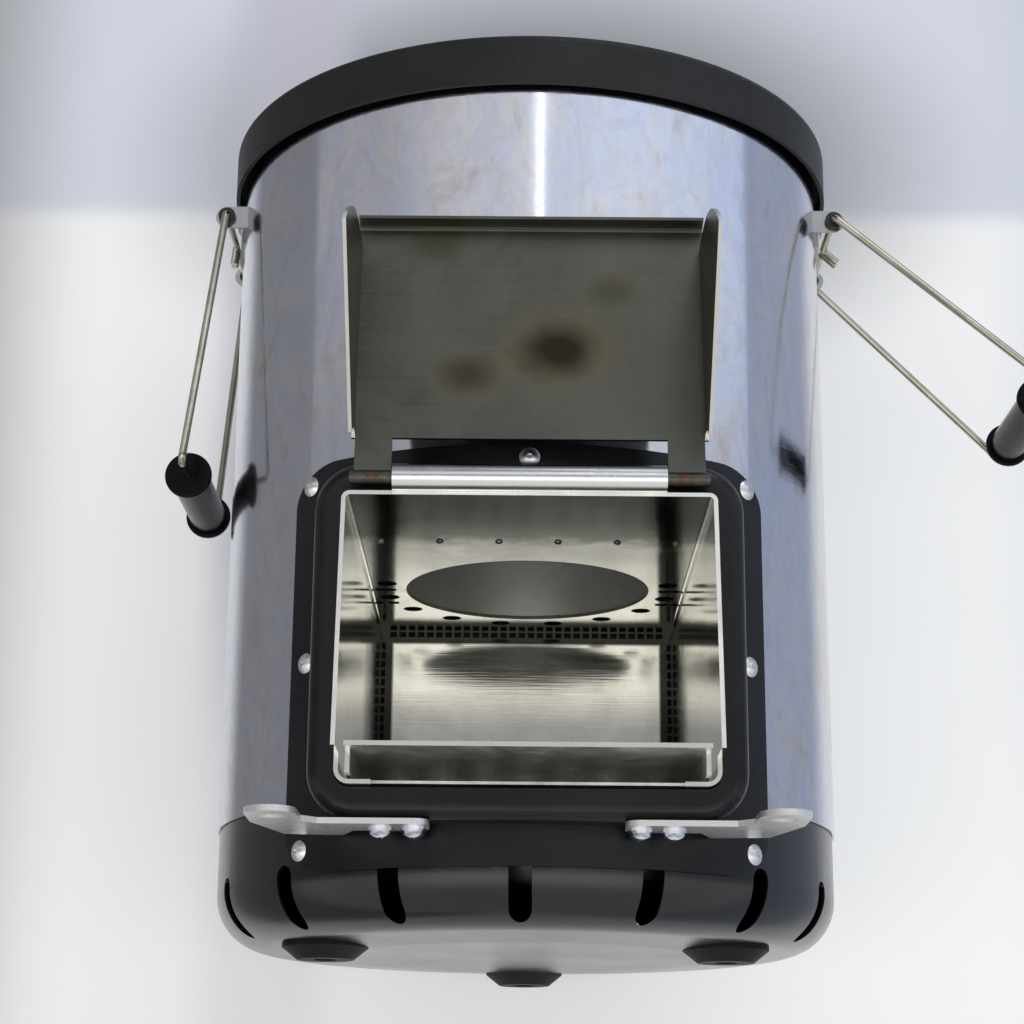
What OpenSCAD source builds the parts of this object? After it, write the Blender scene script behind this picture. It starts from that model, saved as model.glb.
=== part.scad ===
// Rocket-type camping stove. A round steel body holds a front-loading firebox,
// a short insulated riser and a cast pot stand. The door swings up and leans on
// the body, the fuel shelf slides out, and two bail handles swing at the sides.
// Millimetres, +Z up, front towards -Y. The origin is the centre of the circle
// of feet, on the surface that the stove stands on.

/* [Body] */
// Outer diameter of the steel body
body_d = 240; // [238:1:244]
// Thickness of the body sheet
body_t = 0.8; // [0.6:0.1:1]
// Height of the body's lower edge above the ground
body_low = 50; // [48:1:52]
// Height of the body's upper edge above the ground
body_top = 323; // [320:1:326]

/* [Base pan] */
// Outer diameter of the base pan, which tucks inside the body
pan_d = 238; // [236:0.5:238]
// Thickness of the base pan
pan_t = 1; // [0.8:0.1:1.2]
// Radius of the pan's rounded lower edge
pan_corner_r = 20; // [18:1:22]
// Number of air slots round the pan
slot_count = 16; // [8:4:24]
// Width of an air slot
slot_w = 8; // [6:0.5:9]
// Height of the feet under the pan
foot_h = 4.4; // [4.2:0.1:6]
// Diameter of the circle of feet
foot_circle_d = 170; // [150:2:176]

/* [Top] */
// Outer diameter of the black top ring
ring_d = 248; // [246:1:252]
// Height of the ring's lower edge
ring_low = 314.5; // [312:0.5:316]
// Height of the ring's upper edge
ring_top = 335; // [334:0.5:338]
// Height of the pot-supporting ribs
pot_rest_z = 342; // [338:0.5:343]
// Number of pot-supporting ribs
rib_count = 6; // [3:1:8]

/* [Firebox and riser] */
// Inner width of the firebox
box_w = 127; // [120:1:128]
// Height of the firebox ceiling
ceiling_z = 150.7; // [148:0.1:151]
// Thickness of the firebox sheet
box_t = 1.5; // [1:0.1:1.5]
// Depth of the firebox mouth's upper edge in front of the stove's axis
mouth_y = 136.7; // [134:0.1:137]
// Forward slope of the mouth's sides, which the closed door rests on
mouth_slope = 9; // [6:0.5:10]
// Depth of the back wall behind the stove's axis
back_y = 75; // [70:1:80]
// Height of the fuel shelf's upper face
shelf_z = 62.5; // [60:0.1:63]
// Length of the fuel shelf
shelf_len = 145; // [120:1:160]
// Inner diameter of the riser
riser_d = 98; // [90:1:100]
// Thickness of the riser sheet
riser_t = 1; // [0.8:0.1:1.2]
// Number of air holes round the riser
air_hole_count = 16; // [12:4:20]

/* [Front plate] */
// Depth of the collar's front face in front of the stove's axis
collar_y = 130; // [128:0.5:132]
// Width of the raised collar
collar_w = 150; // [146:1:154]
// Thickness of the front plate
plate_t = 1.2; // [1:0.1:1.5]
// Width of the front plate, measured straight across
plate_w = 171; // [166:1:174]

/* [Door] */
// Height of the hinge above the ground
hinge_z = 156.8; // [156.5:0.1:157.2]
// Depth of the hinge in front of the stove's axis
hinge_y = 137; // [136.8:0.1:138]
// Width of the door over its wings
door_w = 124.8; // [118:0.2:125]
// Reach of the door from the hinge to its lip
door_reach = 102; // [98:0.5:103]
// Thickness of the door sheet
door_t = 1.2; // [1:0.1:1.5]
// Angle of each side wing, seen from the hinge
wing_angle = 50; // [40:1:55]
// Diameter of the hinge rod
rod_d = 5; // [4.6:0.1:5.2]

/* [Stick-rest brackets] */
// Distance between the two holes for the stick rest
rest_hole_spacing = 167; // [160:1:174]
// Diameter of the holes for the stick rest
rest_hole_d = 8.6; // [8:0.1:9]
// Thickness of the bracket plates
bracket_t = 2; // [1.5:0.1:2.2]

/* [Handles] */
// Diameter of the bail wire
wire_d = 3; // [2.6:0.1:3.1]
// Distance from the swivel axis to the middle of the grip
bail_len = 110.5; // [100:0.5:116]
// Diameter of the grip between its flanges
grip_d = 15; // [13:0.2:15]
// Diameter of the grip's end flanges
grip_flange_d = 18.6; // [16:0.2:19]
// Length of the grip
grip_len = 62; // [50:1:80]
// Angle of the left handle from hanging straight down
left_swing = 5.7; // [2:0.1:90]
// Angle of the right handle from hanging straight down
right_swing = 47; // [2:0.1:90]

/* [Hidden] */

// Extra length of a cutting shape past the face that it cuts
eps = 1;
// Smoothness of round shapes, and of the rounded corners that are hulled
fine = 96;
hull_fine = 32;

body_r = body_d / 2;
pan_r = pan_d / 2;
pan_flat_r = 72;
pan_rise = 1.5;
pan_top = body_low + 2.5;
slot_low = 7.9;
// The slots sit a little off the stove's middle
slot_turn = -1.1;
slot_high = 29.5;
foot_r = foot_circle_d / 2;
foot_angles = [-60, 60, 180];
foot_top_r = 16;
foot_nut_z = foot_h + pan_t
    + pan_rise * (foot_r + 4.1 - pan_flat_r) / (pan_r - pan_corner_r - pan_flat_r);

ring_r = ring_d / 2;
ring_t = 1.5;
ring_lip_r = 113;
deck_t = 3;
deck_z = body_top + deck_t;
deck_hole_r = riser_d / 2 + riser_t + 0.2;
rib_t = 4;
rib_inner_r = 57;
rib_outer_r = 106;
rib_tenon_r = [66, 94];
rib_tenon_w = 8;

riser_r = riser_d / 2;
riser_low = ceiling_z + box_t;
riser_top = deck_z + 2;
jacket_r = 62.8;
jacket_top = 318;
air_hole_r = 4;
air_hole_skip = floor(air_hole_count / 5);
air_circle_r = 57.3;
liner_r = 113.2;
liner_t = 0.8;
floor_z = 44;

box_low = 50.6;
mouth_half_w = box_w / 2;
box_half_w = mouth_half_w + box_t;
box_flange_w = 11;
box_low_r = 5;
box_high_r = 3;
low_front_y = 135;
low_front_z = 60.8;
floor_t = 1;
floor_front_y = 126;
dimple_y = -76;
dimple_pitch = 22;

plate_r = body_r + plate_t + 0.05;
plate_low = 25.5;
plate_high = 174.7;
plate_corner_r = 16;
collar_low = 39.4;
collar_high = 165;
collar_corner_r = 17;
collar_edge_r = 5.2;

hinge_tube_r = 4.75;
hinge_tube_len = 95;
running_gap = 0.1;
rod_r = rod_d / 2;
wing_outer_r = 93;
wing_inner_r = 17;
door_gap = 0.3;
// The open door leans back until its far edge rests against the body
door_lean = asin((hinge_y - body_r - door_t / 2 - door_gap) / door_reach);

bracket_z = collar_low - bracket_t;
bracket_screw_x = [38.3, 49.5];
bracket_screw_y = -122;
rest_hole_y = -150;
lobe_r = 8.5;

pivot_x = 124;
pivot_z = 299.5;
wire_r = wire_d / 2;
leg_pivot_y = 37;
leg_grip_y = 49.5;
wire_end_y = 1.75;
wire_stub = 8;
pivot_bend_r = 2.2;
grip_bend_r = 3;
grip_flange_t = 2.4;
strap_t = 1.2;
strap_low = 291;
strap_high = 307;
ear_r = 4.6;
strap_taper_y = 26;
ear_y = 32.2;
bushing_hole_r = 2.6;
bushing_flange_r = 3.4;
bushing_out = 34.8;

// ---- Shared shapes ----

// Turns the shape's front to an angle round the stove; 0 is the front, + is to the right
module at_angle(a) {
    rotate([0, 0, a]) children();
}

// Lays an upright shape down so that its top points to the front
module facing_front() {
    rotate([90, 0, 0]) children();
}

module ring_wall(r_out, r_in, z0, z1) {
    translate([0, 0, z0])
        difference() {
            cylinder(r = r_out, h = z1 - z0, $fn = fine);
            translate([0, 0, -eps])
                cylinder(r = r_in, h = z1 - z0 + 2 * eps, $fn = fine);
        }
}

module rounded_rect(w, h, r) {
    square([w - 2 * r, h], center = true);
    square([w, h - 2 * r], center = true);
    for (x = [-1, 1], y = [-1, 1])
        translate([x * (w / 2 - r), y * (h / 2 - r)])
            circle(r = r, $fn = 48);
}

// A rounded rectangular bar along Y, from y0 forwards to y1, spanning z0 to z1
module front_bar(w, z0, z1, r, y0, y1) {
    translate([0, y0, (z0 + z1) / 2])
        facing_front()
            linear_extrude(y0 - y1)
                rounded_rect(w, z1 - z0, r);
}

module bar_between(p, q, r) {
    d = q - p;
    len = norm(d);
    translate(p)
        rotate([0, acos(d.z / len), atan2(d.y, d.x)])
            cylinder(r = r, h = len, $fn = 32);
}

module blind_rivet(head_r, grip) {
    head_h = 1.5;
    dome_r = (head_r * head_r + head_h * head_h) / (2 * head_h);
    shank_r = 2;
    difference() {
        union() {
            intersection() {
                translate([0, 0, head_h - dome_r]) sphere(r = dome_r, $fn = 48);
                cylinder(r = head_r, h = head_h + eps, $fn = 48);
            }
            translate([0, 0, -grip]) cylinder(r = shank_r, h = grip + 0.2, $fn = 32);
            translate([0, 0, -grip - 3]) cylinder(r = 2.8, h = 3, $fn = 32);
        }
        translate([0, 0, head_h - 0.8]) cylinder(r = 1, h = 2, $fn = 32);
    }
}

module pan_head_screw(len) {
    difference() {
        union() {
            intersection() {
                cylinder(r = 3.7, h = 2.6, $fn = 48);
                translate([0, 0, -2.6]) sphere(r = 5.2, $fn = 48);
            }
            translate([0, 0, -len]) cylinder(r = 2, h = len + 0.2, $fn = 32);
        }
        for (a = [0, 90])
            rotate([0, 0, a]) translate([-2, -0.45, 1.4]) cube([4, 0.9, 2]);
    }
}

module hex_nut() {
    difference() {
        cylinder(r = 4.04, h = 3.2, $fn = 6);
        translate([0, 0, -eps]) cylinder(r = 2, h = 3.2 + 2 * eps, $fn = 32);
    }
}

// ---- Base ----

// The pan's outer form, drawn in by an inset; it is filled up to a given height
module pan_form(inset, top = pan_top) {
    arc_r = pan_r - pan_corner_r;
    arc_z = foot_h + pan_rise + pan_corner_r;
    rotate_extrude($fn = fine) {
        polygon([
            [0, foot_h + inset],
            [pan_flat_r, foot_h + inset],
            [arc_r, foot_h + pan_rise + inset],
            [arc_r, arc_z],
            [pan_r - inset, arc_z],
            [pan_r - inset, top],
            [0, top]
        ]);
        intersection() {
            translate([arc_r, arc_z]) circle(r = pan_corner_r - inset, $fn = fine);
            translate([arc_r, 0]) square([pan_corner_r, arc_z]);
        }
    }
}

module air_slot() {
    mid_z = (slot_low + slot_high) / 2;
    straight = slot_high - slot_low - slot_w;
    translate([0, -80, mid_z])
        facing_front()
            linear_extrude(pan_r - 80 + eps) {
                square([slot_w, straight], center = true);
                for (s = [-1, 1])
                    translate([0, s * straight / 2]) circle(d = slot_w, $fn = 32);
            }
}

module base_pan() {
    color("#1c1d1f")
        difference() {
            pan_form(0);
            pan_form(pan_t, pan_top + eps);
            for (i = [0 : slot_count - 1])
                at_angle(i * 360 / slot_count + slot_turn) air_slot();
            for (a = foot_angles)
                at_angle(a) translate([0, -foot_r, 0]) cylinder(r = 2.1, h = 20, $fn = 32);
            front_rivet_holes(-1, 1);
            // Notch in the rim, which the firebox passes over
            translate([-box_half_w - 1, -body_r, box_low - 1])
                cube([2 * box_half_w + 2, body_r / 2, 20]);
        }
}

module foot(angle) {
    color("#17181a")
        difference() {
            at_angle(angle)
                translate([0, -foot_r, 0]) {
                    cylinder(r1 = 10.5, r2 = foot_top_r, h = foot_h, $fn = 48);
                    translate([0, 0, foot_h]) cylinder(r = foot_top_r, h = 4, $fn = 48);
                }
            pan_form(0);
            at_angle(angle)
                translate([0, -foot_r, -eps]) {
                    cylinder(r = 4.4, h = 4 + eps, $fn = 48);
                    cylinder(r = 2.1, h = 20, $fn = 32);
                }
        }
}

module foot_left() {
    foot(foot_angles[0]);
}

module foot_right() {
    foot(foot_angles[1]);
}

module foot_rear() {
    foot(foot_angles[2]);
}

module foot_screws() {
    color("#b9bbbd")
        for (a = foot_angles)
            at_angle(a)
                translate([0, -foot_r, 4])
                    rotate([180, 0, 0]) pan_head_screw(11);
}

module foot_nuts() {
    color("#a9abad")
        for (a = foot_angles)
            at_angle(a) translate([0, -foot_r, foot_nut_z]) hex_nut();
}

// Galvanised tray that closes the base under the firebox and its insulation
module floor_plate() {
    tray_r = pan_r - pan_t;
    color("#9a9c9d")
        difference() {
            translate([0, 0, floor_z]) cylinder(r = tray_r, h = 5, $fn = fine);
            translate([0, 0, floor_z + box_t]) cylinder(r = tray_r - 1, h = 5, $fn = fine);
        }
}

// ---- Body ----

// Where the rivets of the front plate sit: rows are lower, middle and upper, then the top one
rivet_rows = [33.6, 100.7, 166.9];
rivet_angle = 41.3;
top_rivet_z = 169.5;

module front_rivet_holes(side_from, side_to) {
    for (s = [side_from : 2 : side_to], z = rivet_rows)
        at_angle(s * rivet_angle)
            translate([0, -body_r + 10, z]) facing_front() cylinder(r = 2.1, h = 20, $fn = 32);
    translate([0, -body_r + 10, top_rivet_z])
        facing_front() cylinder(r = 2.1, h = 20, $fn = 32);
}

module handle_rivet_places() {
    for (side = [-1, 1], y = [-21, 21])
        translate([0, 0, (strap_low + strap_high) / 2])
            rotate([0, 0, side * 90 + asin(y / body_r)])
                children();
}

seam_rivet_count = 5;
module seam_rivet_places() {
    for (i = [0 : seam_rivet_count - 1])
        translate([0, 0, body_low + 22 + i * 55]) at_angle(180) children();
}

module body_shell() {
    lap_angle = 7;
    color("#b8bcc6")
        difference() {
            union() {
                ring_wall(body_r, body_r - body_t, body_low, body_top);
                // Lapped seam at the back
                intersection() {
                    ring_wall(body_r + body_t, body_r - body_t / 2, body_low, ring_low - 2);
                    translate([-body_r * sin(lap_angle / 2), body_r / 2, 0])
                        cube([2 * body_r * sin(lap_angle / 2), body_r, body_top]);
                }
            }
            front_bar(collar_w - 6, collar_low + 3, collar_high - 3, 14, -60, -140);
            front_rivet_holes(-1, 1);
            handle_rivet_places()
                translate([0, -body_r + 10, 0]) facing_front() cylinder(r = 2.1, h = 20, $fn = 32);
            seam_rivet_places()
                translate([0, -body_r + 10, 0]) facing_front() cylinder(r = 2.1, h = 20, $fn = 32);
        }
}

module seam_rivets() {
    color("#c9cbce")
        seam_rivet_places()
            translate([0, -body_r - body_t, 0]) facing_front() blind_rivet(3.2, 1.8);
}

// ---- Top ----

module top_ring() {
    color("#26282a")
        rotate_extrude($fn = fine)
            difference() {
                union() {
                    translate([ring_lip_r, ring_low])
                        square([ring_r - ring_lip_r, ring_top - ring_low - 3]);
                    translate([ring_lip_r, ring_low])
                        square([ring_r - ring_lip_r - 3, ring_top - ring_low]);
                    translate([ring_r - 3, ring_top - 3]) circle(r = 3, $fn = 48);
                }
                translate([ring_lip_r - eps, ring_low - eps])
                    square([ring_r - ring_t - ring_lip_r + eps,
                        ring_top - ring_low - ring_t + eps]);
            }
}

// Flat cast plate that closes the top; the ring fits round its edge
module top_deck() {
    color("#303234")
        difference() {
            translate([0, 0, body_top]) cylinder(r = ring_r - ring_t, h = deck_t, $fn = fine);
            translate([0, 0, body_top - eps]) cylinder(r = deck_hole_r, h = 20, $fn = fine);
            rib_tenons(0.1, body_top - eps);
        }
}

module rib_places() {
    for (i = [0 : rib_count - 1])
        at_angle(180 / rib_count + i * 360 / rib_count) children();
}

// The tenons that hold the ribs in the deck, grown by a clearance and drawn from a height
module rib_tenons(grow, low) {
    rib_places()
        for (r = rib_tenon_r)
            translate([-rib_t / 2 - grow, -r - rib_tenon_w / 2 - grow, low])
                cube([rib_t + 2 * grow, rib_tenon_w + 2 * grow, deck_z - low + eps]);
}

module pot_stand() {
    rib_h = pot_rest_z - deck_z;
    color("#2b2c2d") {
        rib_places()
            translate([rib_t / 2, 0, deck_z])
                rotate([90, 0, -90])
                    linear_extrude(rib_t)
                        polygon([
                            [rib_inner_r, 0],
                            [rib_outer_r, 0],
                            [rib_outer_r, rib_h],
                            [rib_inner_r + 13, rib_h],
                            [rib_inner_r, 4]
                        ]);
        rib_tenons(0, body_top);
    }
}

// ---- Riser ----

module riser_tube() {
    color("#c2c4c8")
        difference() {
            union() {
                ring_wall(riser_r + riser_t, riser_r, riser_low, riser_top);
                ring_wall(riser_r + 3.5, riser_r + riser_t / 2, riser_low, riser_low + 1);
            }
            // Two rows of small holes bring hot secondary air into the riser
            for (i = [0 : 11], row = [0, 1])
                rotate([0, 0, i * 30 + row * 15])
                    translate([0, 0, 288 + row * 12])
                        facing_front() cylinder(r = 2.5, h = 60, $fn = 32);
        }
}

module riser_jacket() {
    color("#a6a8aa") {
        difference() {
            ring_wall(jacket_r, riser_r + riser_t + 0.2, riser_low, jacket_top);
            translate([0, 0, riser_low - eps])
                cylinder(r = jacket_r - 0.8, h = jacket_top - riser_low + eps - 1, $fn = fine);
        }
    }
}

module riser_insulation() {
    color("#d9d3c4") ring_wall(liner_r - liner_t, jacket_r, riser_low + 2, 314);
}

module firebox_insulation() {
    gap = 0.4;
    color("#d9d3c4")
        difference() {
            translate([0, 0, box_low + 1])
                cylinder(r = liner_r - liner_t, h = riser_low - box_low, $fn = fine);
            translate([-box_half_w - gap, -body_r, 0])
                cube([2 * (box_half_w + gap), body_r + back_y + box_t + gap, 200]);
            translate([-body_r, -body_r, 0]) cube([2 * body_r, body_r - 82, 200]);
        }
}

module inner_liner() {
    color("#9c9ea1")
        difference() {
            ring_wall(liner_r, liner_r - liner_t, floor_z + box_t, 320);
            front_bar(collar_w, box_low - 20, collar_high, 5, -60, -140);
        }
}

// ---- Firebox ----

// Cross-section of the firebox seen from the front, grown by a distance; its lower
// corners are bent wider than its upper ones
module firebox_outline(grow) {
    w = 2 * (box_half_w + grow);
    low = box_low - grow;
    high = riser_low + grow;
    mid = (low + high) / 2;
    translate([0, mid]) rounded_rect(w, high - low, box_low_r + grow);
    translate([0, (mid + high) / 2]) rounded_rect(w, high - mid, box_high_r + grow);
}

module firebox_bar(grow, y0, y1) {
    translate([0, y0, 0])
        facing_front()
            linear_extrude(y0 - y1) firebox_outline(grow);
}

// Bent sheet: a ceiling, two sides and a flange along the foot of each side
module firebox_shell() {
    color("#c9cac6")
        difference() {
            union() {
                difference() {
                    firebox_bar(0, back_y, -mouth_y - 20);
                    firebox_bar(-box_t, back_y + eps, -mouth_y - 20 - eps);
                    translate([-mouth_half_w + box_flange_w, -200, box_low - eps])
                        cube([box_w - 2 * box_flange_w, 200 + back_y + eps, 5]);
                    // The mouth's sides slope forwards, then step back below the shelf
                    translate([-body_r, -mouth_y, riser_low])
                        rotate([-mouth_slope, 0, 0])
                            translate([0, -60, -150]) cube([2 * body_r, 60, 200]);
                    translate([-body_r, -200, box_low - eps])
                        cube([2 * body_r, 200 - low_front_y, low_front_z - box_low + eps]);
                }
                for (i = [-2.5 : 1 : 2.5])
                    translate([i * dimple_pitch, dimple_y, ceiling_z + 0.6])
                        sphere(r = 1.6, $fn = 24);
            }
            translate([0, 0, ceiling_z - 5]) cylinder(r = riser_r, h = 10, $fn = fine);
            // The circle of air holes leaves out the front, over the mouth
            for (i = [air_hole_skip : air_hole_count - 1 - air_hole_skip])
                at_angle((i + 0.5) * 360 / air_hole_count)
                    translate([0, -air_circle_r, ceiling_z - 5])
                        cylinder(r = air_hole_r, h = 10, $fn = 32);
            for (s = [-1, 1], y = [-1, 21])
                translate([s * 58 - 5, y - 1.8, ceiling_z - 3]) cube([10, 3.6, 8]);
        }
}

// Its fold lines along the ceiling and the sides are rows of short slots
module firebox_back() {
    pitch = 4;
    web = 1.1;
    low = box_low + box_t;
    color("#c4c5c1")
        difference() {
            translate([-mouth_half_w, back_y - box_t, low])
                cube([box_w, box_t, ceiling_z - low]);
            for (i = [-15 : 14])
                translate([i * pitch + web / 2, back_y - 4, ceiling_z - 2.6])
                    cube([pitch - web, 8, 2.2]);
            for (s = [-1, 1], i = [0 : 19])
                translate([s * (mouth_half_w - 1.3) - 0.9, back_y - 4, shelf_z + 4 + i * pitch])
                    cube([1.8, 8, pitch - web]);
        }
}

module firebox_floor() {
    color("#8d8e8a")
        translate([-mouth_half_w + 3.6, -floor_front_y, box_low + box_t])
            cube([box_w - 7.2, floor_front_y + back_y - box_t, floor_t]);
}

module firebox_support() {
    color("#a2a4a6")
        difference() {
            translate([-58, 20, floor_z + box_t]) cube([116, 24, box_low - floor_z - box_t]);
            translate([-58 - eps, 21.2, floor_z + box_t - eps])
                cube([116 + 2 * eps, 21.6, box_low - floor_z - box_t - 1.2 + eps]);
        }
}

// Slides forward on the floor, on the edge of the hem along each of its sides. The
// hems start behind the shelf's front edge, which leaves room for the door's lip.
module fuel_shelf() {
    shelf_t = 1.6;
    half_w = 60.7;
    front_y = mouth_y + (riser_low - shelf_z) * tan(mouth_slope) - 0.7;
    hem = shelf_z - box_low - box_t - floor_t - 0.05;
    color("#6d6e69")
        difference() {
            translate([-half_w, -front_y, shelf_z - hem]) cube([2 * half_w, shelf_len, hem]);
            translate([-half_w + shelf_t, -front_y - eps, shelf_z - hem - eps])
                cube([2 * (half_w - shelf_t), shelf_len + 2 * eps, hem - shelf_t + eps]);
            translate([-body_r, -front_y - eps, shelf_z - hem - eps])
                cube([2 * body_r, 8 + eps, hem - shelf_t + eps]);
            // Grate slots at the back of the shelf let air up into the fire
            for (i = [-3 : 3])
                translate([i * 16 - 3, -front_y + shelf_len - 46, shelf_z - 4])
                    cube([6, 38, 8]);
        }
}

// ---- Front plate ----

// One corner of the collar: a post along Y with a rounded front edge
module collar_post(inset) {
    r = collar_corner_r - inset;
    edge = collar_edge_r - inset;
    len = collar_y - 60 - inset;
    translate([0, -60, 0])
        facing_front()
            rotate_extrude($fn = hull_fine) {
                square([r, len - edge]);
                square([r - edge, len]);
                intersection() {
                    translate([r - edge, len - edge]) circle(r = edge, $fn = hull_fine);
                    square([r, len]);
                }
            }
}

module collar_form(inset) {
    mid_z = (collar_low + collar_high) / 2;
    dx = collar_w / 2 - collar_corner_r;
    dz = (collar_high - collar_low) / 2 - collar_corner_r;
    hull()
        for (x = [-dx, dx], z = [mid_z - dz, mid_z + dz])
            translate([x, 0, z]) collar_post(inset);
}

module front_plate() {
    color("#1e2022")
        difference() {
            union() {
                intersection() {
                    ring_wall(plate_r, body_r + 0.05, plate_low, plate_high);
                    front_bar(plate_w, plate_low, plate_high, plate_corner_r, -60, -140);
                }
                difference() {
                    collar_form(0);
                    translate([0, 0, 0]) cylinder(r = body_r + 0.05, h = 300, $fn = fine);
                }
            }
            collar_form(plate_t);
            // Mouth, just larger than the firebox
            firebox_bar(0.3, -60, -140);
            front_rivet_holes(-1, 1);
            for (s = [-1, 1], x = bracket_screw_x)
                translate([s * x, bracket_screw_y, collar_low - eps])
                    cylinder(r = 2.1, h = 5, $fn = 32);
        }
}

module front_rivets() {
    color("#cfd0d2") {
        for (s = [-1, 1], z = rivet_rows)
            at_angle(s * rivet_angle)
                translate([0, -plate_r, z])
                    facing_front() blind_rivet(3.7, z < body_low ? 3.4 : 2.15);
        translate([0, -plate_r, top_rivet_z]) facing_front() blind_rivet(3.7, 2.15);
    }
}

// ---- Door ----

// Moves a shape from the hinge's own frame to the open door's place. In the hinge's
// frame the rod lies along X, the panel runs up Z and the wings point to -Y.
module on_hinge() {
    translate([0, -hinge_y, hinge_z]) rotate([-door_lean, 0, 0]) children();
}

module hinge_tube() {
    color("#b4b6b8")
        translate([-hinge_tube_len / 2, -hinge_y, hinge_z])
            rotate([0, 90, 0])
                difference() {
                    cylinder(r = hinge_tube_r, h = hinge_tube_len, $fn = 48);
                    translate([0, 0, -eps])
                        cylinder(r = rod_r + running_gap, h = hinge_tube_len + 2 * eps, $fn = 48);
                }
}

module hinge_rod() {
    color("#4a4a48")
        translate([-door_w / 2, -hinge_y, hinge_z])
            rotate([0, 90, 0]) cylinder(r = rod_r, h = door_w, $fn = 48);
}

module door_wing() {
    rotate([90, 0, 90])
        linear_extrude(door_t)
            difference() {
                intersection() {
                    circle(r = wing_outer_r, $fn = fine);
                    polygon([
                        [0, 0],
                        [0, wing_outer_r * 2],
                        [-wing_outer_r * 2 * tan(wing_angle), wing_outer_r * 2]
                    ]);
                }
                circle(r = wing_inner_r, $fn = fine);
            }
}

module door_panel() {
    half_w = door_w / 2;
    panel_low = 15;
    tab_w = 13;
    lip_depth = 7;
    color("#50524c")
        on_hinge() {
            translate([-half_w, -door_t / 2, panel_low])
                cube([door_w, door_t, door_reach - panel_low]);
            translate([-half_w, -door_t / 2 - lip_depth, door_reach - door_t])
                cube([door_w, lip_depth + door_t, door_t]);
            for (s = [-1, 1])
                translate([s * (half_w - 1.4 - tab_w / 2) - tab_w / 2, -door_t / 2, rod_r - 0.1])
                    cube([tab_w, door_t, panel_low - rod_r + 1]);
            translate([-half_w, 0, 0]) door_wing();
            translate([half_w - door_t, 0, 0]) door_wing();
        }
}

// ---- Stick-rest brackets ----

module bracket_outline() {
    x_hole = rest_hole_spacing / 2;
    lobe_y = rest_hole_y - 4;
    polygon([
        [38, -134],
        [70, -134],
        [x_hole - lobe_r, -139],
        [x_hole - lobe_r, lobe_y],
        [x_hole + lobe_r, lobe_y],
        [x_hole + lobe_r, -136],
        [x_hole, -107],
        [63.5, -105],
        [59, -117],
        [38, -117]
    ]);
    translate([33, -129]) square([5, 7]);
    for (y = [-129, -122])
        translate([38, y]) circle(r = 5, $fn = 32);
    translate([x_hole, lobe_y]) circle(r = lobe_r, $fn = 48);
}

module right_bracket() {
    color("#c6c8ca")
        difference() {
            translate([0, 0, bracket_z]) linear_extrude(bracket_t) bracket_outline();
            translate([rest_hole_spacing / 2, rest_hole_y, bracket_z - eps])
                cylinder(d = rest_hole_d, h = bracket_t + 2 * eps, $fn = 48);
            for (x = bracket_screw_x)
                translate([x, bracket_screw_y, bracket_z - eps])
                    cylinder(r = 2.1, h = bracket_t + 2 * eps, $fn = 32);
        }
}

module left_bracket() {
    mirror([1, 0, 0]) right_bracket();
}

module bracket_screw_places() {
    for (s = [-1, 1], x = bracket_screw_x)
        translate([s * x, bracket_screw_y, 0]) children();
}

module bracket_washers() {
    color("#d2d4d6")
        bracket_screw_places()
            translate([0, 0, bracket_z - 0.9])
                difference() {
                    cylinder(r = 4.4, h = 0.9, $fn = 48);
                    translate([0, 0, -eps]) cylinder(r = 2.1, h = 3, $fn = 32);
                }
}

module bracket_screws() {
    color("#cfd1d3")
        bracket_screw_places()
            translate([0, 0, bracket_z - 0.9]) rotate([180, 0, 0]) pan_head_screw(9);
}

module bracket_nuts() {
    color("#a9abad")
        bracket_screw_places()
            translate([0, 0, collar_low + plate_t + 0.1]) rotate([0, 0, 30]) hex_nut();
}

// ---- Handles ----

module ear_profile() {
    translate([pivot_x, pivot_z]) circle(r = ear_r, $fn = 48);
    translate([pivot_x - 15, pivot_z - ear_r]) square([15, 2 * ear_r]);
}

// The strap's outline before it is curved, as [y, z] points; its ends taper to the ears
module strap_outline() {
    polygon([
        for (side = [-1, 1]) each [
            [side * ear_y, pivot_z - side * ear_r],
            [side * strap_taper_y, side > 0 ? strap_low : strap_high],
            [-side * strap_taper_y, side > 0 ? strap_low : strap_high],
            [-side * ear_y, pivot_z - side * ear_r]
        ]
    ]);
}

// Curved strap with an ear at each end; it is drawn for the right-hand side
module handle_bracket() {
    color("#c4c6c8")
        difference() {
            union() {
                intersection() {
                    ring_wall(body_r + strap_t, body_r, strap_low, strap_high);
                    translate([body_r / 2, 0, 0])
                        rotate([90, 0, 90]) linear_extrude(body_r) strap_outline();
                }
                for (s = [-1, 1])
                    translate([0, s * ear_y + strap_t / 2, 0])
                        facing_front() linear_extrude(strap_t) ear_profile();
            }
            translate([0, 0, 200]) cylinder(r = body_r, h = 200, $fn = fine);
            translate([pivot_x, 50, pivot_z])
                facing_front() cylinder(r = bushing_hole_r, h = 100, $fn = 32);
            handle_rivet_places()
                translate([0, -body_r + 10, 0]) facing_front() cylinder(r = 2.1, h = 20, $fn = 32);
        }
}

module right_handle_bracket() {
    handle_bracket();
}

module left_handle_bracket() {
    mirror([1, 0, 0]) handle_bracket();
}

module handle_rivets() {
    color("#cfd0d2")
        handle_rivet_places()
            translate([0, -body_r - strap_t, 0]) facing_front() blind_rivet(3.2, 2);
}

// One grommet of each pair; its flange is on the outer side of the ear
module bushing() {
    flange_len = bushing_out - ear_y - strap_t / 2;
    difference() {
        union() {
            cylinder(r = bushing_flange_r, h = flange_len, $fn = 48);
            translate([0, 0, -strap_t - 0.8]) cylinder(r = bushing_hole_r, h = 3, $fn = 48);
        }
        cylinder(r = wire_r + running_gap, h = 20, center = true, $fn = 32);
    }
}

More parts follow.
